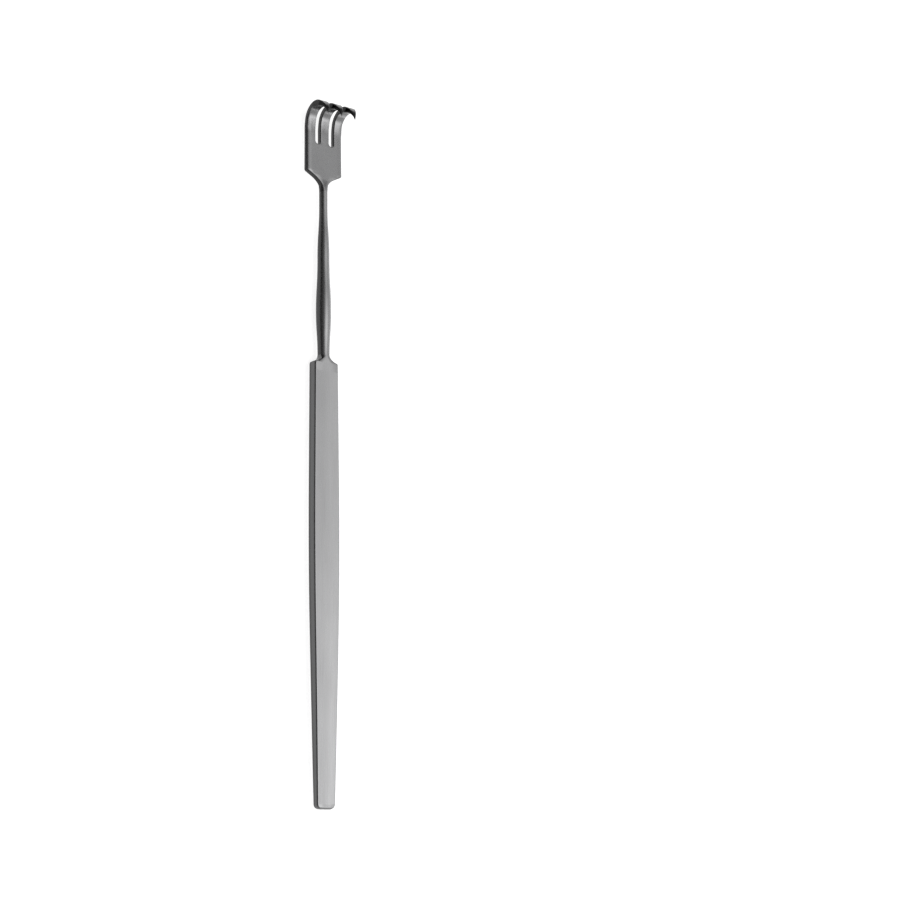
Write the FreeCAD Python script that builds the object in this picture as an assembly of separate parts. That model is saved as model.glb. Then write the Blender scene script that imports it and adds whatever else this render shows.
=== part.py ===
import FreeCAD, Part
import math
import os

# A small sharp rake retractor: a flat bar handle, a slender shank and a three-pronged rake.
# It lies on its back, on the handle and the swell of the shank. X runs along it, from the butt of
# the handle to the top of the hooks, Y across it, and the hooks curl up towards +Z. Sizes are in
# millimetres.

# Handle, a flat bar: two straight tapers, one from each end, meet in a rounded belly, and it thins
# towards the butt. HANDLE_WIDTH is where the tapers would meet, before BELLY_EASE rounds them.
HANDLE_LENGTH = 104.0
HANDLE_WIDTH = 7.3
BUTT_WIDTH = 4.95
FRONT_WIDTH = 6.6
BELLY_FROM_BUTT = 56.0
BELLY_EASE = 18.0
HANDLE_THICKNESS = 2.8
BUTT_THICKNESS = 1.75
THINNING_LENGTH = 57.0
BUTT_CORNER = 1.2
HANDLE_EDGE = 0.5

# Its turned end: a concave flare from the collar, then a straight slope outwards
FLARE_LENGTH = 2.0
FLARE_RISE = 1.6
FLARE_CORNER = 0.35

# Shank, a round baluster that falls in two steps to its waist: places from the collar
SHANK_LENGTH = 40.6
COLLAR_DIAMETER = 2.85
SWELL_DIAMETER = 3.6
SWELL_FROM_COLLAR = 10.9
LEDGE_DIAMETER = 2.84
LEDGE_FROM_COLLAR = 24.0
LEDGE_FALL_SHARE = 0.4
WAIST_DIAMETER = 2.0
WAIST_FROM_COLLAR = 36.6
NOSE_LENGTH = 6.5
NOSE_DIAMETER = 0.8

# Rake, a flat palm cut into prongs by round-bottomed slots
PRONGS = 3
RAKE_WIDTH = 10.0
NECK_WIDTH = 1.3
NECK_THICKNESS = 1.6
SLOT_WIDTH = 1.66
PALM_LENGTH = 15.7
SLOT_DEPTH = 8.7
SHOULDER_ANGLE = 62.0
SHOULDER_RADIUS = 4.0
SHOULDER_CORNER = 0.4
PRONG_THICKNESS = 1.2
RAKE_EDGE = 0.2

# Hook at the end of each prong, an arc that tapers to a point
HOOK_RADIUS = 4.25
HOOK_TURN = 183.0
NARROWS_FROM = 45.0
NARROWING_POWER = 2.0
THINNING_POWER = 2.0
POINT_SIZE = 0.12
POINT_CHAMFER_SHARE = 0.3
HOOK_SECTIONS = 10

# Tang of the shank, brazed into a socket in the handle
TANG_DIAMETER = 1.6
TANG_LENGTH = 12.0
TANG_CHAMFER = 0.3
BRAZE_GAP = 0.1
SOCKET_END_ROOM = 0.5

# How the shapes are made: cutters run past what they cut by OVERRUN, an edge is sharp where its
# faces' normals have a cosine below SHARP_COSINE, and points this near to a plane lie in it
OVERRUN = 1.2
SHARP_COSINE = 0.7
NEARNESS = 1e-4

# Places that follow from the sizes: it lies on whichever is thicker, the bar or the shank's swell
MIDDLE_Z = max(HANDLE_THICKNESS, SWELL_DIAMETER) / 2
PRONG_WIDTH = (RAKE_WIDTH - (PRONGS - 1) * SLOT_WIDTH) / PRONGS
PRONG_PITCH = PRONG_WIDTH + SLOT_WIDTH


def shoulder_run():
    """Length along X of the rake's shoulder: an arc out of the neck, then a straight slope."""
    angle = math.radians(SHOULDER_ANGLE)
    rise = (RAKE_WIDTH - NECK_WIDTH) / 2
    arc_rise = SHOULDER_RADIUS * (1 - math.cos(angle))
    return SHOULDER_RADIUS * math.sin(angle) + (rise - arc_rise) / math.tan(angle)


LENGTH = HANDLE_LENGTH + SHANK_LENGTH + shoulder_run() + PALM_LENGTH
BUTT_X = -LENGTH / 2
COLLAR_X = BUTT_X + HANDLE_LENGTH
NECK_X = COLLAR_X + SHANK_LENGTH
SHOULDER_X = NECK_X + shoulder_run()
BEND_X = LENGTH / 2 - HOOK_RADIUS


def vector(x, y, z=0.0):
    return FreeCAD.Vector(x, y, z)


def line(a, b):
    return Part.LineSegment(a, b).toShape()


def arc(a, b, c):
    return Part.Arc(a, b, c).toShape()


def sweep_radius(run, rise):
    """Radius of an arc that starts along X and moves sideways by rise over run."""
    return (run * run + rise * rise) / (2 * rise)


def drop(radius, run):
    """How far such an arc has moved sideways after run."""
    return radius - math.sqrt(radius * radius - run * run)


def mirrored_outline(half):
    """Closed wire of a half outline, given as edges from one end to the other, and its mirror."""
    mirror = [edge.mirror(vector(0, 0), vector(0, 1)) for edge in half]
    ends = [half[0].Vertexes[0].Point, half[-1].Vertexes[-1].Point]
    caps = [line(vector(p.x, -p.y), p) for p in ends]
    return Part.Wire(Part.__sortEdges__(half + mirror + caps))


def plan_prism(half, height):
    """Prism of a mirrored outline, standing across the middle plane of the handle."""
    face = Part.Face(mirrored_outline(half))
    face.translate(vector(0, 0, MIDDLE_Z - height / 2))
    return face.extrude(vector(0, 0, height))


def side_prism(half, width):
    """Prism of a mirrored outline seen from the side, where the outline's Y becomes Z."""
    face = Part.Face(mirrored_outline(half))
    face.rotate(vector(0, 0), vector(1, 0), 90)
    face.translate(vector(0, width / 2, MIDDLE_Z))
    return face.extrude(vector(0, -width, 0))


def middle_of(edge):
    return edge.valueAt((edge.FirstParameter + edge.LastParameter) / 2)


def upright_edges(shape, x):
    """Edges that stand along Z at x."""
    found = []
    for edge in shape.Edges:
        ends = [vertex.Point for vertex in edge.Vertexes]
        tall = abs(ends[-1].z - ends[0].z) > NEARNESS
        if tall and all(abs(end.x - x) < NEARNESS for end in ends):
            found.append(edge)
    return found


def sharp_edges(shape, kept_planes):
    """Edges where two faces meet at a sharp angle, apart from those in the given X planes."""
    found = []
    for edge in shape.Edges:
        middle = middle_of(edge)
        if any(abs(middle.x - x) < NEARNESS for x in kept_planes):
            continue
        normals = []
        for face in shape.ancestorsOfType(edge, Part.Face):
            u, v = face.Surface.parameter(middle)
            normals.append(face.normalAt(u, v))
        if len(normals) == 2 and normals[0].dot(normals[1]) < SHARP_COSINE:
            found.append(edge)
    return found


def cut_section(centre, up, width, height, corner):
    """Eight-sided wire: a rectangle as wide as width along Y and as high as height along up,
    with its corners cut off."""
    across = vector(0, 1)
    w, h = width / 2, height / 2
    quarter = ((w, h - corner), (w - corner, h))
    points = [(a, b) for a, b in quarter] + [(-a, b) for a, b in reversed(quarter)]
    points += [(-a, -b) for a, b in points[:2]] + [(-a, -b) for a, b in points[2:]]
    return Part.makePolygon([centre + across * a + up * b for a, b in points + points[:1]])


def ogee(start, end, share=0.5):
    """Two arcs that start and end along X and meet, without a kink, at a share of the way."""
    meeting = start + (end - start) * share
    halves = []
    for still in (start, end):
        run, rise = meeting.x - still.x, meeting.y - still.y
        radius = sweep_radius(run, abs(rise))
        halves.append(still + vector(run / 2, math.copysign(drop(radius, run / 2), rise)))
    return [arc(start, halves[0], meeting), arc(meeting, halves[1], end)]


def eased_corner(start, corner, end, reach):
    """Lines from start to a corner and on to end, with an arc that begins reach before the corner."""
    back = (start - corner).normalize()
    ahead = (end - corner).normalize()
    half_angle = back.getAngle(ahead) / 2
    depth = reach * math.tan(math.pi / 4 - half_angle / 2)
    first, last = corner + back * reach, corner + ahead * reach
    middle = corner + (back + ahead).normalize() * depth
    return [line(start, first), arc(first, middle, last), line(last, end)]


def revolved(wire):
    """Solid of revolution of a closed wire about the instrument's axis."""
    solid = Part.Face(wire).revolve(vector(0, 0), vector(1, 0), 360)
    solid.translate(vector(0, 0, MIDDLE_Z))
    return solid


def handle():
    """Flat bar with tapered sides, a thinned butt, a turned end and a socket for the tang."""
    belly = vector(BUTT_X + BELLY_FROM_BUTT, HANDLE_WIDTH / 2)
    butt, front = vector(BUTT_X, BUTT_WIDTH / 2), vector(COLLAR_X, FRONT_WIDTH / 2)
    broad = plan_prism(eased_corner(butt, belly, front, BELLY_EASE), HANDLE_THICKNESS)
    broad = broad.makeFillet(BUTT_CORNER, upright_edges(broad, BUTT_X))
    blank = broad.common(side_prism(handle_profile(), 2 * HANDLE_WIDTH))
    blank = blank.makeFillet(HANDLE_EDGE, sharp_edges(blank, (COLLAR_X,)))
    turned_end = blank.cut(flare_ring())
    turned_end = turned_end.makeFillet(FLARE_CORNER, sharp_edges(turned_end, (COLLAR_X,)))
    return turned_end.cut(socket())


def handle_profile():
    """Side outline of the handle, an arc that thins it and a line. It runs past both ends."""
    half = HANDLE_THICKNESS / 2
    flat_x = BUTT_X + THINNING_LENGTH
    radius = sweep_radius(THINNING_LENGTH, half - BUTT_THICKNESS / 2)
    run = THINNING_LENGTH + OVERRUN
    tail = vector(flat_x - run, half - drop(radius, run))
    middle = vector(flat_x - run / 2, half - drop(radius, run / 2))
    flat = vector(flat_x, half)
    return [arc(tail, middle, flat), line(flat, vector(COLLAR_X + OVERRUN, half))]


def flare_ring():
    """Ring that is turned off the end of the bar: it leaves a concave flare behind the collar."""
    radius = sweep_radius(FLARE_LENGTH, FLARE_RISE)
    angle = math.asin(FLARE_LENGTH / radius)
    end = vector(COLLAR_X, COLLAR_DIAMETER / 2)
    middle = end + vector(-radius * math.sin(angle / 2), radius * (1 - math.cos(angle / 2)))
    start = end + vector(-FLARE_LENGTH, FLARE_RISE)
    outer = vector(start.x - (HANDLE_WIDTH - start.y) / math.tan(angle), HANDLE_WIDTH)
    ahead_x = COLLAR_X + COLLAR_DIAMETER
    corners = [start, outer, vector(ahead_x, HANDLE_WIDTH), vector(ahead_x, end.y), end]
    edges = [arc(end, middle, start)] + [line(a, b) for a, b in zip(corners, corners[1:])]
    return revolved(Part.Wire(edges))


def socket():
    """Blind hole in the end of the handle that the tang is brazed into."""
    radius = TANG_DIAMETER / 2 + BRAZE_GAP
    return Part.makeCylinder(
        radius, TANG_LENGTH + SOCKET_END_ROOM, vector(COLLAR_X, 0, MIDDLE_Z), vector(-1, 0)
    )


def tang():
    """Round tang behind the collar, chamfered at its end."""
    bar = Part.makeCylinder(TANG_DIAMETER / 2, TANG_LENGTH, vector(COLLAR_X, 0, MIDDLE_Z), vector(-1, 0))
    end_x = COLLAR_X - TANG_LENGTH
    end = [edge for edge in bar.Edges if abs(edge.CenterOfMass.x - end_x) < NEARNESS]
    return bar.makeChamfer(TANG_CHAMFER, end)


def tang_braze():
    """Sleeve of braze that fills the gap round the tang."""
    length = TANG_LENGTH - TANG_CHAMFER
    start, inwards = vector(COLLAR_X, 0, MIDDLE_Z), vector(-1, 0)
    outside = Part.makeCylinder(TANG_DIAMETER / 2 + BRAZE_GAP, length, start, inwards)
    return outside.cut(Part.makeCylinder(TANG_DIAMETER / 2, length, start, inwards))


def shank():
    """Round baluster: it swells from the collar, falls to a ledge and on to a waist, and fades
    into the palm."""
    collar = vector(COLLAR_X, COLLAR_DIAMETER / 2)
    swell = vector(COLLAR_X + SWELL_FROM_COLLAR, SWELL_DIAMETER / 2)
    ledge = vector(COLLAR_X + LEDGE_FROM_COLLAR, LEDGE_DIAMETER / 2)
    waist = vector(COLLAR_X + WAIST_FROM_COLLAR, WAIST_DIAMETER / 2)
    neck = vector(NECK_X, WAIST_DIAMETER / 2)
    nose = vector(NECK_X + NOSE_LENGTH, NOSE_DIAMETER / 2)
    outline = ogee(collar, swell) + ogee(swell, ledge, LEDGE_FALL_SHARE) + ogee(ledge, waist)
    outline += [line(waist, neck)] + ogee(neck, nose)
    corners = [nose, vector(nose.x, 0), vector(COLLAR_X, 0), collar]
    outline += [line(a, b) for a, b in zip(corners, corners[1:])]
    return revolved(Part.Wire(outline))


def slot(y):
    """Cutter for one slot between two prongs, with a round bottom towards the handle."""
    radius = SLOT_WIDTH / 2
    bottom_x = LENGTH / 2 - SLOT_DEPTH + radius
    foot = vector(bottom_x, y, MIDDLE_Z - NECK_THICKNESS)
    round_end = Part.makeCylinder(radius, 2 * NECK_THICKNESS, foot)
    run = Part.makeBox(LENGTH / 2 - bottom_x, SLOT_WIDTH, 2 * NECK_THICKNESS, foot - vector(0, radius))
    return round_end.fuse(run)


def palm():
    """Flat palm with curved shoulders, thinner towards the hooks, cut into prongs by its slots."""
    angle = math.radians(SHOULDER_ANGLE)
    half_neck = NECK_WIDTH / 2
    arc_end = vector(
        NECK_X + SHOULDER_RADIUS * math.sin(angle), half_neck + SHOULDER_RADIUS * (1 - math.cos(angle))
    )
    arc_middle = vector(
        NECK_X + SHOULDER_RADIUS * math.sin(angle / 2),
        half_neck + SHOULDER_RADIUS * (1 - math.cos(angle / 2)),
    )
    corner = vector(SHOULDER_X, RAKE_WIDTH / 2)
    plan = [
        arc(vector(NECK_X, half_neck), arc_middle, arc_end),
        line(arc_end, corner),
        line(corner, vector(BEND_X, RAKE_WIDTH / 2)),
    ]
    even_x = LENGTH / 2 - SLOT_DEPTH + SLOT_WIDTH
    run = even_x - NECK_X
    thinning = sweep_radius(run, (NECK_THICKNESS - PRONG_THICKNESS) / 2)
    profile = [
        arc(
            vector(NECK_X, NECK_THICKNESS / 2),
            vector(NECK_X + run / 2, PRONG_THICKNESS / 2 + drop(thinning, run / 2)),
            vector(even_x, PRONG_THICKNESS / 2),
        ),
        line(vector(even_x, PRONG_THICKNESS / 2), vector(BEND_X, PRONG_THICKNESS / 2)),
    ]
    broad = plan_prism(plan, NECK_THICKNESS)
    broad = broad.makeFillet(SHOULDER_CORNER, upright_edges(broad, SHOULDER_X))
    plate = broad.common(side_prism(profile, RAKE_WIDTH + OVERRUN))
    for i in range(PRONGS - 1):
        plate = plate.cut(slot((i + 1 - PRONGS / 2) * PRONG_PITCH))
    return plate.makeChamfer(RAKE_EDGE, sharp_edges(plate, (NECK_X, BEND_X)))


def prong_hook(y):
    """Hook of one prong: sections along an arc, narrowing and thinning to a sharp point."""
    outer_centre = vector(BEND_X, y, MIDDLE_Z - PRONG_THICKNESS / 2 + HOOK_RADIUS)
    sections = []
    for i in range(HOOK_SECTIONS):
        turn = HOOK_TURN * i / (HOOK_SECTIONS - 1)
        narrowing = max(0.0, (turn - NARROWS_FROM) / (HOOK_TURN - NARROWS_FROM)) ** NARROWING_POWER
        thinning = (turn / HOOK_TURN) ** THINNING_POWER
        width = PRONG_WIDTH - (PRONG_WIDTH - POINT_SIZE) * narrowing
        thickness = PRONG_THICKNESS - (PRONG_THICKNESS - POINT_SIZE) * thinning
        angle = math.radians(turn)
        outwards = vector(math.sin(angle), 0, -math.cos(angle))
        centre = outer_centre + outwards * (HOOK_RADIUS - thickness / 2)
        corner = min(RAKE_EDGE, POINT_CHAMFER_SHARE * min(width, thickness))
        sections.append(cut_section(centre, outwards * -1, width, thickness, corner))
    return Part.makeLoft(sections, True, False)


def working_end():
    """Rake, shank and tang, which are forged in one."""
    body = shank().fuse([tang(), palm()])
    for i in range(PRONGS):
        body = body.fuse(prong_hook((i - (PRONGS - 1) / 2) * PRONG_PITCH))
    return body.removeSplitter()


def main():
    os.makedirs("parts", exist_ok=True)
    pieces = {"handle": handle(), "working_end": working_end(), "tang_braze": tang_braze()}
    for name, shape in pieces.items():
        print(name, "valid", shape.isValid(), "solids", len(shape.Solids), "volume", shape.Volume)
        shape.exportStep(f"parts/{name}.step")


main()
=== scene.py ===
import math

import bmesh
import bpy
from mathutils import Matrix, Vector


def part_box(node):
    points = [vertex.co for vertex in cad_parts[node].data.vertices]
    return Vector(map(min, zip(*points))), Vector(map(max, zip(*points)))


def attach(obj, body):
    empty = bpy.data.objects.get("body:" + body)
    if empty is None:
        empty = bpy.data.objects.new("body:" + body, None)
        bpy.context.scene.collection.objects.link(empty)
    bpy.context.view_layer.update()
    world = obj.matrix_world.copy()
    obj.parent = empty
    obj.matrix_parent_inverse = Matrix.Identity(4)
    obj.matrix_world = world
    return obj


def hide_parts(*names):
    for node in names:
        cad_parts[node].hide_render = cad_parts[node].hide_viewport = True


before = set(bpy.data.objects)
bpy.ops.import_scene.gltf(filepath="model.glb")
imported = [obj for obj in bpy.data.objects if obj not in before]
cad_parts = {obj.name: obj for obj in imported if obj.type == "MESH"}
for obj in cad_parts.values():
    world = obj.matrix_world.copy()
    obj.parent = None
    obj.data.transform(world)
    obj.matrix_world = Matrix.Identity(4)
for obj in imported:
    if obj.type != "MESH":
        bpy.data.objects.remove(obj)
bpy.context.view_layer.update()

# A small sharp rake retractor of satin steel. It lies on its back on a white floor, the hooks curl
# up towards +Z, and the camera looks down on it from its left. The object's sizes and the camera's
# place are in millimetres. The lamp and the floor are in metres, as the scene is.
MM = 0.001

# Handle: a bar that tapers from its belly to both ends and thins towards the butt
HANDLE_WIDTH = 7.3
BUTT_WIDTH = 4.95
FRONT_WIDTH = 6.6
BELLY_FROM_BUTT = 56.0
BELLY_EASE = 18.0
HANDLE_THICKNESS = 2.8
BUTT_THICKNESS = 1.75
THINNING_LENGTH = 57.0
BUTT_CORNER = 1.2
BUTT_EDGE = 0.55

# Its long edges: how deep the roundings of the front and the back are, and how wide as a share
HANDLE_EDGE = 0.65
HANDLE_STRETCH = 0.7
BACK_EDGE = 1.3
BACK_STRETCH = 0.3

# How hollow its front face is, and how far from the collar that is complete
HOLLOW = 0.07
HOLLOW_FADE = 5.0

# Its turned end: the length over which the bar grows round, and the flare behind the collar
TURNED_LENGTH = 2.4
FLARE_AHEAD = 0.25
FLARE_LENGTH = 2.0
FLARE_RISE = 1.6

# Shank: a swell, a ledge and a waist. Two arcs meet at a share of the way from each to the next.
COLLAR_DIAMETER = 2.85
SWELL_DIAMETER = 3.6
SWELL_FROM_COLLAR = 10.9
LEDGE_DIAMETER = 2.84
LEDGE_FROM_COLLAR = 24.0
LEDGE_FALL_SHARE = 0.4
EVEN_SHARE = 0.5
WAIST_DIAMETER = 2.0
WAIST_FROM_COLLAR = 36.6
SHANK_LENGTH = 40.1

# Palm: a plate that grows out of the round neck, with sloping shoulders
PRONGS = 3
RAKE_WIDTH = 10.0
NECK_WIDTH = 1.3
NECK_THICKNESS = 1.6
NECK_FADE = 0.65
SLOT_WIDTH = 1.4
SLOT_DEPTH = 9.2
SHOULDER_ANGLE = math.radians(62)
SHOULDER_RADIUS = 4.0
SHOULDER_CORNER = 0.5

# Its edges: small beside the slots, and eased outside, from the end of the shoulders' slope to
# where the hooks have begun to bend
SLOT_EDGE = 0.2
OUTER_EDGE = 0.5
OUTER_STRETCH = 3.0
SHARPENING_LENGTH = 1.2
SQUARE_FROM = math.radians(50)

# Hooks: a slow start of the bend, an even arc, and a taper to the point
PRONG_THICKNESS = 1.3
EASE_RADIUS = 12.0
EASE_TURN = math.radians(14)
HOOK_RADIUS = 4.135
HOOK_TURN = math.radians(183)
TAPERS_FROM = math.radians(126)
POINT_SIZE = 0.06

# Tang and its socket
TANG_DIAMETER = 1.6
TANG_LENGTH = 12.0
TANG_CHAMFER = 0.3
BRAZE_GAP = 0.1
SOCKET_END_ROOM = 0.5

# Places and lengths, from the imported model
BUTT_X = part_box("handle")[0].x / MM
COLLAR_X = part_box("handle")[1].x / MM
TOP_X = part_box("working_end")[1].x / MM
MIDDLE_Z = SWELL_DIAMETER / 2
HANDLE_LENGTH = COLLAR_X - BUTT_X
NECK_X = COLLAR_X + SHANK_LENGTH
BEND_X = TOP_X - HOOK_RADIUS
EASE_X = BEND_X - (EASE_RADIUS - HOOK_RADIUS) * math.sin(EASE_TURN)
SLOT_X = TOP_X - SLOT_DEPTH + SLOT_WIDTH / 2
PRONG_WIDTH = (RAKE_WIDTH - (PRONGS - 1) * SLOT_WIDTH) / PRONGS
PRONG_PITCH = PRONG_WIDTH + SLOT_WIDTH

# Roundings: the front edge's depth and its width as a share of that, and the back edge's
OUTER = (OUTER_EDGE, OUTER_STRETCH, SLOT_EDGE, 1.0)
INNER = (SLOT_EDGE, 1.0, SLOT_EDGE, 1.0)
BAR = (HANDLE_EDGE, HANDLE_STRETCH, BACK_EDGE, BACK_STRETCH)

# Points of a section. A bar's roundings are a little smaller than named, so that two never meet.
ROUND_STEPS = 6
MOST_EDGE = 0.97
WALL_POINTS = 3
SIDE_POINTS = 2 * (ROUND_STEPS + 1) + WALL_POINTS
GUIDES = PRONGS - 1

# Distances between sections, or how many there are
BUTT_STEPS = 12
BAR_STEP = 2.0
FINE_LENGTH = 2 * FLARE_LENGTH
FINE_STEP = 0.1
STEP = 0.5
SHOULDER_STEP = STEP / 3
CORNER_STEPS = 6
SLOT_STEPS = 8
EASE_STEPS = 5
HOOK_STEP = math.radians(4)

# Points closer than this are one, and an edge that turns more than this is sharp
MERGE_DISTANCE = 1e-4
SHARP_ANGLE = math.radians(40)

# Steels: their darkest and lightest colour, how dark the painted shade makes the flanks and the
# edges of the back, the middle of the roughness, and how fine and strong the grain is along X, Y
# and Z
BRUSHED = {
    "dark": (0.44, 0.44, 0.445),
    "light": (0.48, 0.48, 0.485),
    "painted_shades": (0.25, 0.4),
    "rough": 0.28,
    "grain": (90, 2600, 2600),
    "bump": 0.2,
}
BLASTED = {
    "dark": (0.42, 0.42, 0.425),
    "light": (0.46, 0.46, 0.465),
    "painted_shades": (0.15, 0.8),
    "rough": 0.28,
    "grain": (3000, 3000, 3000),
    "bump": 0.06,
}
BRAZE = {
    "dark": (0.72, 0.68, 0.58),
    "light": (0.78, 0.75, 0.66),
    "painted_shades": (0.8, 0.8),
    "rough": 0.35,
    "grain": (900, 900, 900),
    "bump": 0.3,
}
GRAIN_DETAIL = 3.0
GRAIN_HEIGHT = 0.01
SMOOTHER = 0.04
ROUGHER = 0.05
CLOUDS = (60, 160, 160)
CLOUD_DETAIL = 2.0

# Nearly all values of a noise lie between these
NOISE_LOW = 0.3
NOISE_HIGH = 0.7

# How upright the surface's normal is where the painted shade of the flanks starts, and where it is
# complete
FLANK_STARTS = 0.9
FLANK_FULL = 0.4

# The same for the painted shade of the palm's eased edges, and how dark it makes them
EASED_STARTS = 1.0
EASED_FULL = 0.85
EASED_PAINTED_SHADE = 0.6

# The edges of the back, where the normal points about so far down, get painted shade: how much it
# differs from that where the shade starts, and where it is complete
UNDER_DIP = 0.5
UNDER_STARTS = 0.5
UNDER_FULL = 0.38

# Heights between which painted shade comes over the hooks, and how dark they are above
HOOKS_FROM = 3.8
HOOKS_FULL = 5.2
HOOK_PAINTED_SHADE = 0.35

# Floor, and how much it is lifted to look white
FLOOR_SIZE = 6.0
FLOOR_LEVEL = 0.8
FLOOR_ROUGHNESS = 0.9
FLOOR_LIFT = 0.8

# Brightness of the studio across its width, from 0 at +Y, on the camera's side, to 1 at -Y
STUDIO_LEVELS = (
    (0.0, 0.055),
    (0.22, 0.11),
    (0.43, 0.19),
    (0.55, 0.28),
    (0.77, 0.43),
    (0.88, 0.6),
    (1.0, 0.65),
)

# Beyond the hooks' end it is dim: the X of a direction where that starts and where it is complete
FADE_STARTS = 0.28
FADE_ENDS = 0.75
FADE_LEVEL = 0.1

# Lamp, and the glow of the studio round it
KEY_WAY = Vector((-0.15, -0.22, 0.96)).normalized()
KEY_DISTANCE = 0.8
KEY_SIZE = (0.5, 0.5)
KEY_WATTS = 0.25
GLOW_REACH = math.radians(40)
GLOW_FULL = math.radians(19)
GLOW_LEVEL = 0.8

# Camera
CAMERA_AT = (-104.8, 255.84, 380.57)
CAMERA_TURN = math.radians(37.68)
CAMERA_TILT = math.radians(12.77)
CAMERA_ROLL = math.radians(-0.9)
FOCAL_PIXELS = 2033.4
IMAGE_PIXELS = 900
SENSOR = 36.0


def smooth(share):
    """Share from 0 to 1 that leaves 0 and reaches 1 without a kink."""
    share = min(1.0, max(0.0, share))
    return share * share * (3 - 2 * share)


def arc_drop(radius, run):
    """How far an arc that starts along X has moved sideways after run, which may be none."""
    run = max(0.0, run)
    return radius - math.sqrt(radius * radius - run * run)


def arc_radius(run, drop):
    """Radius of the arc that has moved sideways by drop after run."""
    return (run**2 + drop**2) / (2 * drop)


def blended(first, second, share):
    """Values of the first and second, mixed one by one."""
    return [a + (b - a) * share for a, b in zip(first, second)]


def spread(low, high, step):
    """Evenly spaced values from low to high, about step apart."""
    count = max(1, math.ceil((high - low) / step))
    return [low + (high - low) * i / count for i in range(count + 1)]


def wall_heights(top, bottom):
    """Heights of the points on a wall, between the heights of its two ends."""
    return [top + (bottom - top) * (i + 1) / (WALL_POINTS + 1) for i in range(WALL_POINTS)]


def side_profile(point, outwards, half, edge, stretch, back_edge, back_stretch):
    """One side of a section, from its top to its bottom: the rounded front edge, the wall and the
    rounded back edge. Point is where the wall stands in plan and outwards its direction there.
    A rounding's width is its depth times its stretch."""
    turns = [math.pi / 2 * (1 - i / ROUND_STEPS) for i in range(ROUND_STEPS + 1)]
    front = [(edge * stretch * (1 - math.cos(t)), half - edge + edge * math.sin(t)) for t in turns]
    back = [
        (back_edge * back_stretch * (1 - math.cos(t)), back_edge - half - back_edge * math.sin(t))
        for t in turns[::-1]
    ]
    wall = [(0.0, z) for z in wall_heights(front[-1][1], back[0][1])]
    steps = front + wall + back
    return [Vector((point[0] - outwards[0] * d, point[1] - outwards[1] * d, z)) for d, z in steps]


def section(left, right):
    """Closed section from its left and right profiles, with guide points across its broad faces."""
    bottom = [left[-1].lerp(right[-1], (i + 1) / (GUIDES + 1)) for i in range(GUIDES)]
    top = [right[0].lerp(left[0], (i + 1) / (GUIDES + 1)) for i in range(GUIDES)]
    return left + bottom + right[::-1] + top


def bar_section(x, half_width, half, left, right):
    """Section of a bar that lies along X: a rectangle with the roundings of its left and right."""
    sides = []
    for side, (edge, stretch, back_edge, back_stretch) in ((1, left), (-1, right)):
        edge = MOST_EDGE * min(edge, half, half_width / stretch)
        back_edge = MOST_EDGE * min(back_edge, half, half_width / back_stretch)
        point = (x, side * half_width)
        sides.append(side_profile(point, (0, side), half, edge, stretch, back_edge, back_stretch))
    return section(*sides)


def round_section(x, radius):
    """Circle across the axis, with as many points as any other section, in the same order."""
    count = 2 * (SIDE_POINTS + GUIDES)
    first = (GUIDES + 1) / 2
    turns = [2 * math.pi * (i + first) / count for i in range(count)]
    return [Vector((x, radius * math.sin(t), radius * math.cos(t))) for t in turns]


def left_side(ring):
    """Left profile of a ring that a section gave, from its top to its bottom."""
    return ring[:SIDE_POINTS]


def right_side(ring):
    """Right profile of such a ring, from its bottom to its top."""
    return ring[SIDE_POINTS + GUIDES : 2 * SIDE_POINTS + GUIDES]


def top_row(ring):
    """Points across its top, from left to right."""
    return [ring[0]] + ring[2 * SIDE_POINTS + GUIDES :][::-1] + [right_side(ring)[-1]]


def bottom_row(ring):
    """Points across its bottom, from left to right."""
    return ring[SIDE_POINTS - 1 : SIDE_POINTS + GUIDES + 1]


def placed(name, data):
    """New object of the data, in the scene."""
    thing = bpy.data.objects.new(name, data)
    bpy.context.scene.collection.objects.link(thing)
    return thing


class Body:
    """Mesh that grows from closed sections, which all have their points in the same order."""

    def __init__(self):
        self.mesh = bmesh.new()

    def skin(self, sections, start_cap=False, end_cap=False):
        """Faces between each section and the next, and over the ends that are capped. Gives the
        first and the last ring of points."""
        rings = [[self.mesh.verts.new(point) for point in points] for points in sections]
        for before, after in zip(rings, rings[1:]):
            self.strip(before + before[:1], after + after[:1])
        if start_cap:
            self.mesh.faces.new(rings[0][::-1])
        if end_cap:
            self.mesh.faces.new(rings[-1])
        return rings[0], rings[-1]

    def strip(self, before, after):
        """Quads between two rows with as many points."""
        for corners in zip(before, before[1:], after[1:], after):
            self.mesh.faces.new(corners)

    def part_into(self, ring, branches):
        """Faces from one ring to the first rings of the branches that leave it side by side."""
        self.strip(left_side(ring), left_side(branches[0]))
        self.strip(right_side(ring), right_side(branches[-1]))
        for row in (top_row, bottom_row):
            start = row(ring)
            for branch, *corners in zip(branches, start, start[1:]):
                self.mesh.faces.new(corners + row(branch)[::-1])

    def finish(self, name):
        """Object of the mesh in metres, with shared points merged and its faces turned outwards."""
        bmesh.ops.remove_doubles(self.mesh, verts=self.mesh.verts, dist=MERGE_DISTANCE)
        bmesh.ops.recalc_face_normals(self.mesh, faces=self.mesh.faces)
        for edge in self.mesh.edges:
            edge.smooth = edge.calc_face_angle(0.0) < SHARP_ANGLE
        data = bpy.data.meshes.new(name)
        self.mesh.to_mesh(data)
        self.mesh.free()
        data.transform(Matrix.Translation((0, 0, MIDDLE_Z * MM)) @ Matrix.Scale(MM, 4))
        data.shade_smooth()
        piece = placed(name, data)
        sharpen = piece.modifiers.new("corner_normals", "WEIGHTED_NORMAL")
        sharpen.keep_sharp = True
        return piece


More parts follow.
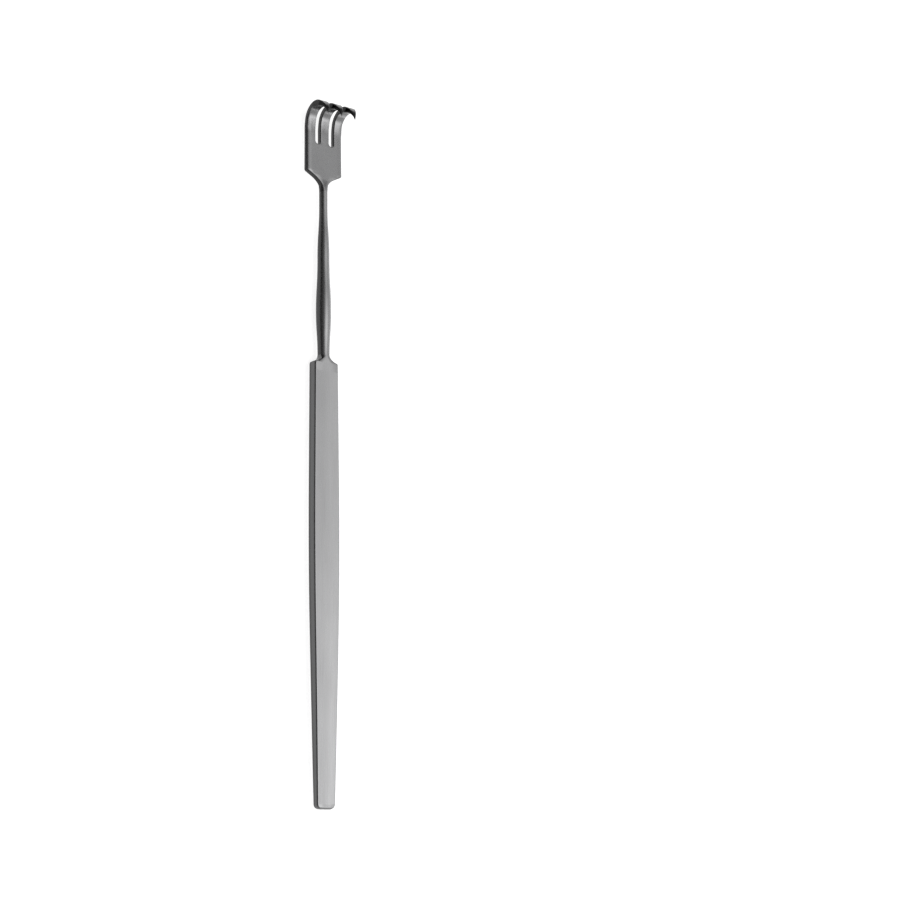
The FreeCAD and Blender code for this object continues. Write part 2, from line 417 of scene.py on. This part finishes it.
def plan_half_width(from_butt):
    """Half the handle's width: two straight tapers whose corner is rounded into a belly."""
    low, high = BELLY_FROM_BUTT - BELLY_EASE, BELLY_FROM_BUTT + BELLY_EASE
    rise = (HANDLE_WIDTH - BUTT_WIDTH) / 2 / BELLY_FROM_BUTT
    fall = (FRONT_WIDTH - HANDLE_WIDTH) / 2 / (HANDLE_LENGTH - BELLY_FROM_BUTT)
    out = BUTT_WIDTH / 2 + rise * from_butt
    back = HANDLE_WIDTH / 2 + fall * (from_butt - BELLY_FROM_BUTT)
    if from_butt < low:
        return out
    if from_butt > high:
        return back
    return out + (fall - rise) * (from_butt - low) ** 2 / (2 * (high - low))


def handle_half_thickness(from_butt):
    """Half the handle's thickness: an arc that thins it towards the butt, and even beyond."""
    radius = arc_radius(THINNING_LENGTH, (HANDLE_THICKNESS - BUTT_THICKNESS) / 2)
    return HANDLE_THICKNESS / 2 - arc_drop(radius, THINNING_LENGTH - from_butt)


def flare_radius(from_collar):
    """Half width that the turning leaves: a concave arc behind the collar, then a slope."""
    radius = arc_radius(FLARE_LENGTH, FLARE_RISE)
    if from_collar <= FLARE_LENGTH:
        return COLLAR_DIAMETER / 2 + arc_drop(radius, from_collar)
    slope = math.tan(math.asin(FLARE_LENGTH / radius))
    return COLLAR_DIAMETER / 2 + FLARE_RISE + slope * (from_collar - FLARE_LENGTH)


def handle_section(from_butt):
    """Section of the handle: its bar, with rounded corners at the butt, and narrowed and rounded
    at the collar."""
    from_collar = HANDLE_LENGTH - from_butt
    half = handle_half_thickness(from_butt)
    half_width = plan_half_width(from_butt) - arc_drop(BUTT_CORNER, BUTT_CORNER - from_butt)
    half_width = min(half_width, flare_radius(from_collar + FLARE_AHEAD))
    turned = smooth(1 - from_collar / TURNED_LENGTH)
    rounding = blended(BAR, (half, 1.0, half, 1.0), turned)
    half -= arc_drop(BUTT_EDGE, BUTT_EDGE - from_butt)
    points = bar_section(BUTT_X + from_butt, half_width, half, rounding, rounding)
    hollow = HOLLOW * smooth(from_butt / BUTT_CORNER) * smooth(from_collar / HOLLOW_FADE)
    for guide in top_row(points)[1:-1]:
        guide.z -= hollow
    return points


def make_handle():
    """Flat bar with its rounded butt, its turned end and the blind socket for the tang."""
    turns = [math.pi / 2 * i / BUTT_STEPS for i in range(BUTT_STEPS)]
    along = [BUTT_CORNER * (1 - math.cos(turn)) for turn in turns]
    along += spread(BUTT_CORNER, HANDLE_LENGTH - FINE_LENGTH, BAR_STEP)
    along += spread(HANDLE_LENGTH - FINE_LENGTH, HANDLE_LENGTH, FINE_STEP)[1:]
    sections = [handle_section(place) for place in along]
    socket = TANG_DIAMETER / 2 + BRAZE_GAP
    bottom_x = COLLAR_X - TANG_LENGTH - SOCKET_END_ROOM
    sections += [round_section(COLLAR_X, socket), round_section(bottom_x, socket)]
    body = Body()
    body.skin(sections, start_cap=True, end_cap=True)
    return body.finish("handle_bar")


def ogee(start, end, share, place):
    """Value between two (place, value) pairs: two arcs that meet at a share of the way."""
    meeting = start[0] + (end[0] - start[0]) * share
    rise = end[1] - start[1]
    if place < meeting:
        return start[1] + rise * share * ((place - start[0]) / (meeting - start[0])) ** 2
    return end[1] - rise * (1 - share) * ((end[0] - place) / (end[0] - meeting)) ** 2


def shank_radius(from_collar):
    """Radius of the baluster, and of the even neck behind its waist."""
    start = (0.0, COLLAR_DIAMETER / 2)
    for share, place, diameter in (
        (EVEN_SHARE, SWELL_FROM_COLLAR, SWELL_DIAMETER),
        (LEDGE_FALL_SHARE, LEDGE_FROM_COLLAR, LEDGE_DIAMETER),
        (EVEN_SHARE, WAIST_FROM_COLLAR, WAIST_DIAMETER),
    ):
        end = (place, diameter / 2)
        if from_collar < place:
            return ogee(start, end, share, from_collar)
        start = end
    return WAIST_DIAMETER / 2


def shoulder_rise():
    """Place where the shoulder's arc ends and its slope begins, and half the palm's width there."""
    x = NECK_X + SHOULDER_RADIUS * math.sin(SHOULDER_ANGLE)
    return x, NECK_WIDTH / 2 + SHOULDER_RADIUS * (1 - math.cos(SHOULDER_ANGLE))


def shoulder_corner():
    """Place where the shoulder's slope would meet the palm's straight side."""
    arc_end, half_width = shoulder_rise()
    return arc_end + (RAKE_WIDTH / 2 - half_width) / math.tan(SHOULDER_ANGLE)


def outer_line():
    """Side of the palm, from the neck to its straight part, as (place, half width)."""
    arc_end, half_width = shoulder_rise()
    corner_x = shoulder_corner()
    reach = SHOULDER_CORNER * math.tan(SHOULDER_ANGLE / 2)
    slope_end = corner_x - reach * math.cos(SHOULDER_ANGLE)
    line = []
    for x in spread(NECK_X, slope_end, SHOULDER_STEP):
        slope = half_width + math.tan(SHOULDER_ANGLE) * (x - arc_end)
        arc = NECK_WIDTH / 2 + arc_drop(SHOULDER_RADIUS, min(x, arc_end) - NECK_X)
        line.append((x, arc if x <= arc_end else slope))
    centre = (corner_x + reach, RAKE_WIDTH / 2 - SHOULDER_CORNER)
    for angle in spread(-SHOULDER_ANGLE, 0.0, SHOULDER_ANGLE / CORNER_STEPS)[1:]:
        x = centre[0] + SHOULDER_CORNER * math.sin(angle)
        line.append((x, centre[1] + SHOULDER_CORNER * math.cos(angle)))
    return line


def palm_half_thickness(x):
    """Half the palm's thickness: it thins from the neck to the slots, and is even beyond."""
    even_x = TOP_X - SLOT_DEPTH + SLOT_WIDTH
    radius = arc_radius(even_x - NECK_X, (NECK_THICKNESS - PRONG_THICKNESS) / 2)
    return PRONG_THICKNESS / 2 + arc_drop(radius, even_x - x)


def palm_section(x, half_width):
    """Section of the palm. It grows out of the round neck over a share of the shoulders' length,
    and its edges become the eased ones over the last part of the slope."""
    wide = max(half_width, WAIST_DIAMETER / 2)
    corner_x = shoulder_corner()
    rounding = blended(INNER, OUTER, smooth(1 + (x - corner_x) / SHARPENING_LENGTH))
    flat = bar_section(x, wide, palm_half_thickness(x), rounding, rounding)
    share = smooth((x - NECK_X) / (NECK_FADE * (corner_x - NECK_X)))
    neck = round_section(x, WAIST_DIAMETER / 2)
    return [a.lerp(b, share) for a, b in zip(neck, flat)]


def prong_centre(number):
    """Middle of a prong along Y. The first is the leftmost."""
    return ((PRONGS - 1) / 2 - number) * PRONG_PITCH


def prong_side(slot_y, side, angle, x):
    """Profile of a prong's side beside a slot, on that side of it: at an angle round the slot's
    bottom, or at x where the slot runs straight."""
    radius = SLOT_WIDTH / 2
    point = (SLOT_X - radius * math.cos(angle), slot_y + side * radius * math.sin(angle))
    outwards = (math.cos(angle), -side * math.sin(angle))
    if x > SLOT_X:
        point = (x, slot_y + side * radius)
    return side_profile(point, outwards, palm_half_thickness(x), *INNER)


def prong_edges(number, turn):
    """Rounding of a prong's left and right sides: the head's outer sides are rounder, and grow as
    square as the slots' over the first part of the bend."""
    outer = blended(OUTER, INNER, smooth(turn / SQUARE_FROM))
    return (outer if number == 0 else INNER, outer if number == PRONGS - 1 else INNER)


def prong_sections(number):
    """Sections of one prong, from the bottom of the slots to the start of its bend."""
    angles = [math.pi / 2 * i / SLOT_STEPS for i in range(SLOT_STEPS + 1)]
    stations = [(SLOT_X - (SLOT_WIDTH / 2 + SLOT_EDGE) * math.cos(a), a) for a in angles]
    stations += [(x, math.pi / 2) for x in spread(SLOT_X, EASE_X, STEP)[1:]]
    centre = prong_centre(number)
    sections = []
    for x, angle in stations:
        half = palm_half_thickness(x)
        if number == 0:
            left = side_profile((x, RAKE_WIDTH / 2), (0, 1), half, *OUTER)
        else:
            left = prong_side(centre + PRONG_PITCH / 2, -1, angle, x)
        if number == PRONGS - 1:
            right = side_profile((x, -RAKE_WIDTH / 2), (0, -1), half, *OUTER)
        else:
            right = prong_side(centre - PRONG_PITCH / 2, 1, angle, x)
        sections.append(section(left, right))
    return sections


def hook_back(turn):
    """Place along X and height of a hook's back after a turn: a slow start, then an even arc."""
    if turn < EASE_TURN:
        return EASE_X + EASE_RADIUS * math.sin(turn), EASE_RADIUS * (1 - math.cos(turn))
    pivot_height = EASE_RADIUS - (EASE_RADIUS - HOOK_RADIUS) * math.cos(EASE_TURN)
    return BEND_X + HOOK_RADIUS * math.sin(turn), pivot_height - HOOK_RADIUS * math.cos(turn)


def hook_sections(number):
    """Sections of one hook: they follow its back, narrow and thin, and end in a point."""
    full, point = (PRONG_WIDTH, PRONG_THICKNESS), (POINT_SIZE, POINT_SIZE)
    turns = spread(0, EASE_TURN, EASE_TURN / EASE_STEPS)[1:]
    turns += spread(EASE_TURN, HOOK_TURN, HOOK_STEP)[1:]
    sections = []
    for turn in turns:
        taper = max(0.0, (turn - TAPERS_FROM) / (HOOK_TURN - TAPERS_FROM))
        half_width, half = (size / 2 for size in blended(full, point, taper))
        x, height = hook_back(turn)
        outwards = Vector((math.sin(turn), 0, -math.cos(turn)))
        back = Vector((x, prong_centre(number), height - PRONG_THICKNESS / 2))
        middle = back - outwards * half
        flat = bar_section(0, half_width, half, *prong_edges(number, turn))
        sections.append([middle + Vector((0, p.y, 0)) - outwards * p.z for p in flat])
    return sections


def make_working_end():
    """Tang, shank, palm and hooked prongs, forged in one."""
    tang = TANG_DIAMETER / 2
    end_x = COLLAR_X - TANG_LENGTH
    sections = [
        round_section(end_x, tang - TANG_CHAMFER),
        round_section(end_x + TANG_CHAMFER, tang),
        round_section(COLLAR_X, tang),
    ]
    along = spread(0, SHANK_LENGTH, STEP)
    sections += [round_section(COLLAR_X + place, shank_radius(place)) for place in along]
    outer = outer_line()
    sections += [palm_section(*place) for place in outer[1:]]
    slot_bottom_x = SLOT_X - SLOT_WIDTH / 2 - SLOT_EDGE
    flat = spread(outer[-1][0], slot_bottom_x, STEP)[1:-1]
    sections += [palm_section(x, RAKE_WIDTH / 2) for x in flat]
    body = Body()
    palm_end = body.skin(sections, start_cap=True)[1]
    prongs = [prong_sections(i) + hook_sections(i) for i in range(PRONGS)]
    body.part_into(palm_end, [body.skin(prong, end_cap=True)[0] for prong in prongs])
    return body.finish("rake_and_shank")


def grey(level):
    """Grey colour of that level."""
    return (level, level, level, 1)


def shader(name):
    """New material, with its tree and its Principled shader's inputs."""
    material = bpy.data.materials.new(name)
    material.use_nodes = True
    return material, material.node_tree, material.node_tree.nodes["Principled BSDF"].inputs


def feed(tree, place, value):
    """Gives an input its value, which is another node's output or plain."""
    if isinstance(value, bpy.types.NodeSocket):
        tree.links.new(value, place)
    else:
        place.default_value = value


def worked(tree, kind, operation, values):
    """Outputs of a math node."""
    node = tree.nodes.new(kind)
    node.operation = operation
    for place, value in zip(node.inputs, values):
        feed(tree, place, value)
    return node.outputs


def sums(tree, operation, *values):
    """Number that the operation makes of the values."""
    return worked(tree, "ShaderNodeMath", operation, values)["Value"]


def parts_of(tree, vector):
    """X, Y and Z of a vector."""
    parts = tree.nodes.new("ShaderNodeSeparateXYZ")
    tree.links.new(vector, parts.inputs["Vector"])
    return parts.outputs


def ranged(tree, value, start, end, low=0.0, high=1.0, way="SMOOTHSTEP"):
    """Number that goes from low to high as the value goes from start to end."""
    node = tree.nodes.new("ShaderNodeMapRange")
    node.interpolation_type = way
    tree.links.new(value, node.inputs["Value"])
    limits = {"From Min": start, "From Max": end, "To Min": low, "To Max": high}
    for name, limit in limits.items():
        node.inputs[name].default_value = limit
    return node.outputs["Result"]


def noise(tree, coordinates, grain, detail, low=0.0, high=1.0):
    """Noise as fine as the grain along each axis, as it is, and brought between low and high."""
    mapping = tree.nodes.new("ShaderNodeMapping")
    mapping.inputs["Scale"].default_value = grain
    tree.links.new(coordinates, mapping.inputs["Vector"])
    texture = tree.nodes.new("ShaderNodeTexNoise")
    texture.inputs["Scale"].default_value = 1.0
    texture.inputs["Detail"].default_value = detail
    tree.links.new(mapping.outputs["Vector"], texture.inputs["Vector"])
    value = texture.outputs["Fac"]
    return value, ranged(tree, value, NOISE_LOW, NOISE_HIGH, low, high, way="LINEAR")


def mixed(tree, way, share, first, second):
    """Colour that a share of the second makes of the first."""
    node = tree.nodes.new("ShaderNodeMix")
    node.data_type = "RGBA"
    node.blend_type = way
    for name, value in (("Factor", share), ("A", first), ("B", second)):
        feed(tree, node.inputs[name], value)
    return node.outputs["Result"]


def darkened(tree, colour, value, start, end, shade):
    """Colour with painted shade, more and more as the value goes from start to end."""
    return mixed(tree, "MULTIPLY", ranged(tree, value, start, end), colour, grey(shade))


def with_painted_shade(tree, source, colour, flank_painted_shade, under_painted_shade):
    """Colour with painted shade by how the faces turn and how high they stand: the flanks, which
    face sideways, the eased edges of the palm, the edges of the back and the hooks above a height
    are darker."""
    normal = parts_of(tree, source["Normal"])
    place = parts_of(tree, source["Object"])
    bent = sums(tree, "MULTIPLY", normal["X"], sums(tree, "GREATER_THAN", place["X"], BEND_X * MM))
    squares = [sums(tree, "POWER", value, 2.0) for value in (normal["Z"], bent)]
    upright = sums(tree, "SQRT", sums(tree, "ADD", *squares))
    # Painted shade on the flanks, by how far the normal turns sideways
    colour = darkened(tree, colour, upright, FLANK_STARTS, FLANK_FULL, flank_painted_shade)
    on_shank = sums(tree, "LESS_THAN", place["X"], NECK_X * MM)
    eased = sums(tree, "ADD", upright, on_shank)
    # Painted shade on the eased edges of the palm
    colour = darkened(tree, colour, eased, EASED_STARTS, EASED_FULL, EASED_PAINTED_SHADE)
    from_edge = sums(tree, "ABSOLUTE", sums(tree, "ADD", normal["Z"], UNDER_DIP))
    # Painted shade on the edges of the back, whose normals point down
    colour = darkened(tree, colour, from_edge, UNDER_STARTS, UNDER_FULL, under_painted_shade)
    # Painted shade on the hooks above a height
    return darkened(tree, colour, place["Z"], HOOKS_FROM * MM, HOOKS_FULL * MM, HOOK_PAINTED_SHADE)


def steel(name, dark, light, painted_shades, rough, grain, bump):
    """Satin steel: fine lines or grain in its roughness and height, a slow change of tone and
    painted shade.
    """
    material, tree, surface = shader(name)
    surface["Metallic"].default_value = 1.0
    source = tree.nodes.new("ShaderNodeTexCoord").outputs
    limits = (rough - SMOOTHER, rough + ROUGHER)
    lines, roughness = noise(tree, source["Object"], grain, GRAIN_DETAIL, *limits)
    clouds = noise(tree, source["Object"], CLOUDS, CLOUD_DETAIL)[1]
    tone = mixed(tree, "MIX", clouds, (*dark, 1), (*light, 1))
    tree.links.new(with_painted_shade(tree, source, tone, *painted_shades), surface["Base Color"])
    tree.links.new(roughness, surface["Roughness"])
    height = tree.nodes.new("ShaderNodeBump")
    height.inputs["Strength"].default_value = bump
    height.inputs["Distance"].default_value = GRAIN_HEIGHT * MM
    tree.links.new(lines, height.inputs["Height"])
    tree.links.new(height.outputs["Normal"], surface["Normal"])
    return material


def floor_material():
    """White floor: shaded as a pale surface, and lifted to white for what looks at it."""
    material, tree, surface = shader("floor_white")
    surface["Base Color"].default_value = grey(FLOOR_LEVEL)
    surface["Roughness"].default_value = FLOOR_ROUGHNESS
    surface["Specular IOR Level"].default_value = 0.0
    surface["Emission Color"].default_value = grey(1.0)
    path = tree.nodes.new("ShaderNodeLightPath").outputs
    seen = sums(tree, "ADD", path["Is Camera Ray"], path["Is Glossy Ray"])
    seen = sums(tree, "ADD", seen, path["Is Transmission Ray"])
    tree.links.new(sums(tree, "MULTIPLY", seen, FLOOR_LIFT), surface["Emission Strength"])
    return material


def make_floor():
    """Square floor under the object."""
    side = FLOOR_SIZE / 2
    corners = [(-side, -side, 0), (side, -side, 0), (side, side, 0), (-side, side, 0)]
    data = bpy.data.meshes.new("floor")
    data.from_pydata(corners, [], [range(len(corners))])
    data.materials.append(floor_material())
    floor = placed("floor", data)


def studio_level(tree, sideways):
    """Brightness of the studio by how far a direction points along Y."""
    ramp = tree.nodes.new("ShaderNodeValToRGB")
    tree.links.new(ranged(tree, sideways, 1.0, -1.0, way="LINEAR"), ramp.inputs["Fac"])
    stops = ramp.color_ramp.elements
    stops.remove(stops[-1])
    for position, level in STUDIO_LEVELS:
        stop = stops.new(position) if position > 0 else stops[0]
        stop.color = grey(level)
    return ramp.outputs["Color"]


def make_world():
    """Studio that is darkest on the camera's side and brightest opposite, with the glow round the
    lamp."""
    world = bpy.data.worlds.new("studio")
    bpy.context.scene.world = world
    world.use_nodes = True
    tree = world.node_tree
    direction = tree.nodes.new("ShaderNodeTexCoord").outputs["Generated"]
    parts = parts_of(tree, direction)
    towards = worked(tree, "ShaderNodeVectorMath", "DOT_PRODUCT", (direction, KEY_WAY))["Value"]
    glow = ranged(tree, towards, math.cos(GLOW_REACH), math.cos(GLOW_FULL), high=GLOW_LEVEL)
    levels = (studio_level(tree, parts["Y"]), glow)
    total = worked(tree, "ShaderNodeVectorMath", "ADD", levels)["Vector"]
    fade = ranged(tree, parts["X"], FADE_STARTS, FADE_ENDS, 1.0, FADE_LEVEL)
    background = tree.nodes["Background"].inputs
    tree.links.new(total, background["Color"])
    tree.links.new(fade, background["Strength"])


def make_key():
    """Large soft lamp on the far side, where the handle's broad face mirrors it to the camera."""
    data = bpy.data.lights.new("key", "AREA")
    data.shape = "RECTANGLE"
    data.size, data.size_y = KEY_SIZE
    data.energy = KEY_WATTS
    key = placed("key", data)
    key.location = KEY_WAY * KEY_DISTANCE
    key.rotation_euler = (-key.location).to_track_quat("-Z", "Y").to_euler()


def make_camera():
    """Camera at the photograph's angle, from its place, turn, tilt and roll."""
    ahead = Vector((
        math.sin(CAMERA_TILT),
        -math.cos(CAMERA_TILT) * math.sin(CAMERA_TURN),
        -math.cos(CAMERA_TILT) * math.cos(CAMERA_TURN),
    ))
    right = ahead.cross(Vector((1, 0, 0))).normalized()
    up = right.cross(ahead)
    rolled_right = right * math.cos(CAMERA_ROLL) + up * math.sin(CAMERA_ROLL)
    rolled_up = up * math.cos(CAMERA_ROLL) - right * math.sin(CAMERA_ROLL)
    turn = Matrix((rolled_right, rolled_up, -ahead)).transposed()
    data = bpy.data.cameras.new("camera")
    data.sensor_width = SENSOR
    data.lens = FOCAL_PIXELS * SENSOR / IMAGE_PIXELS
    camera = placed("camera", data)
    camera.matrix_world = Matrix.Translation(Vector(CAMERA_AT) * MM) @ turn.to_4x4()
    bpy.context.scene.camera = camera


def dress(piece, node, material):
    """The piece stands for the node, rides with it and takes the material."""
    piece.data.materials.append(material)
    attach(piece, "root")
    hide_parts(node)


make_camera()
make_world()
make_key()
make_floor()

dress(make_handle(), "handle", steel("handle_steel", **BRUSHED))
dress(make_working_end(), "working_end", steel("rake_steel", **BLASTED))
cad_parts["tang_braze"].material_slots[0].material = steel("braze", **BRAZE)

bpy.context.scene.view_settings.view_transform = "Standard"
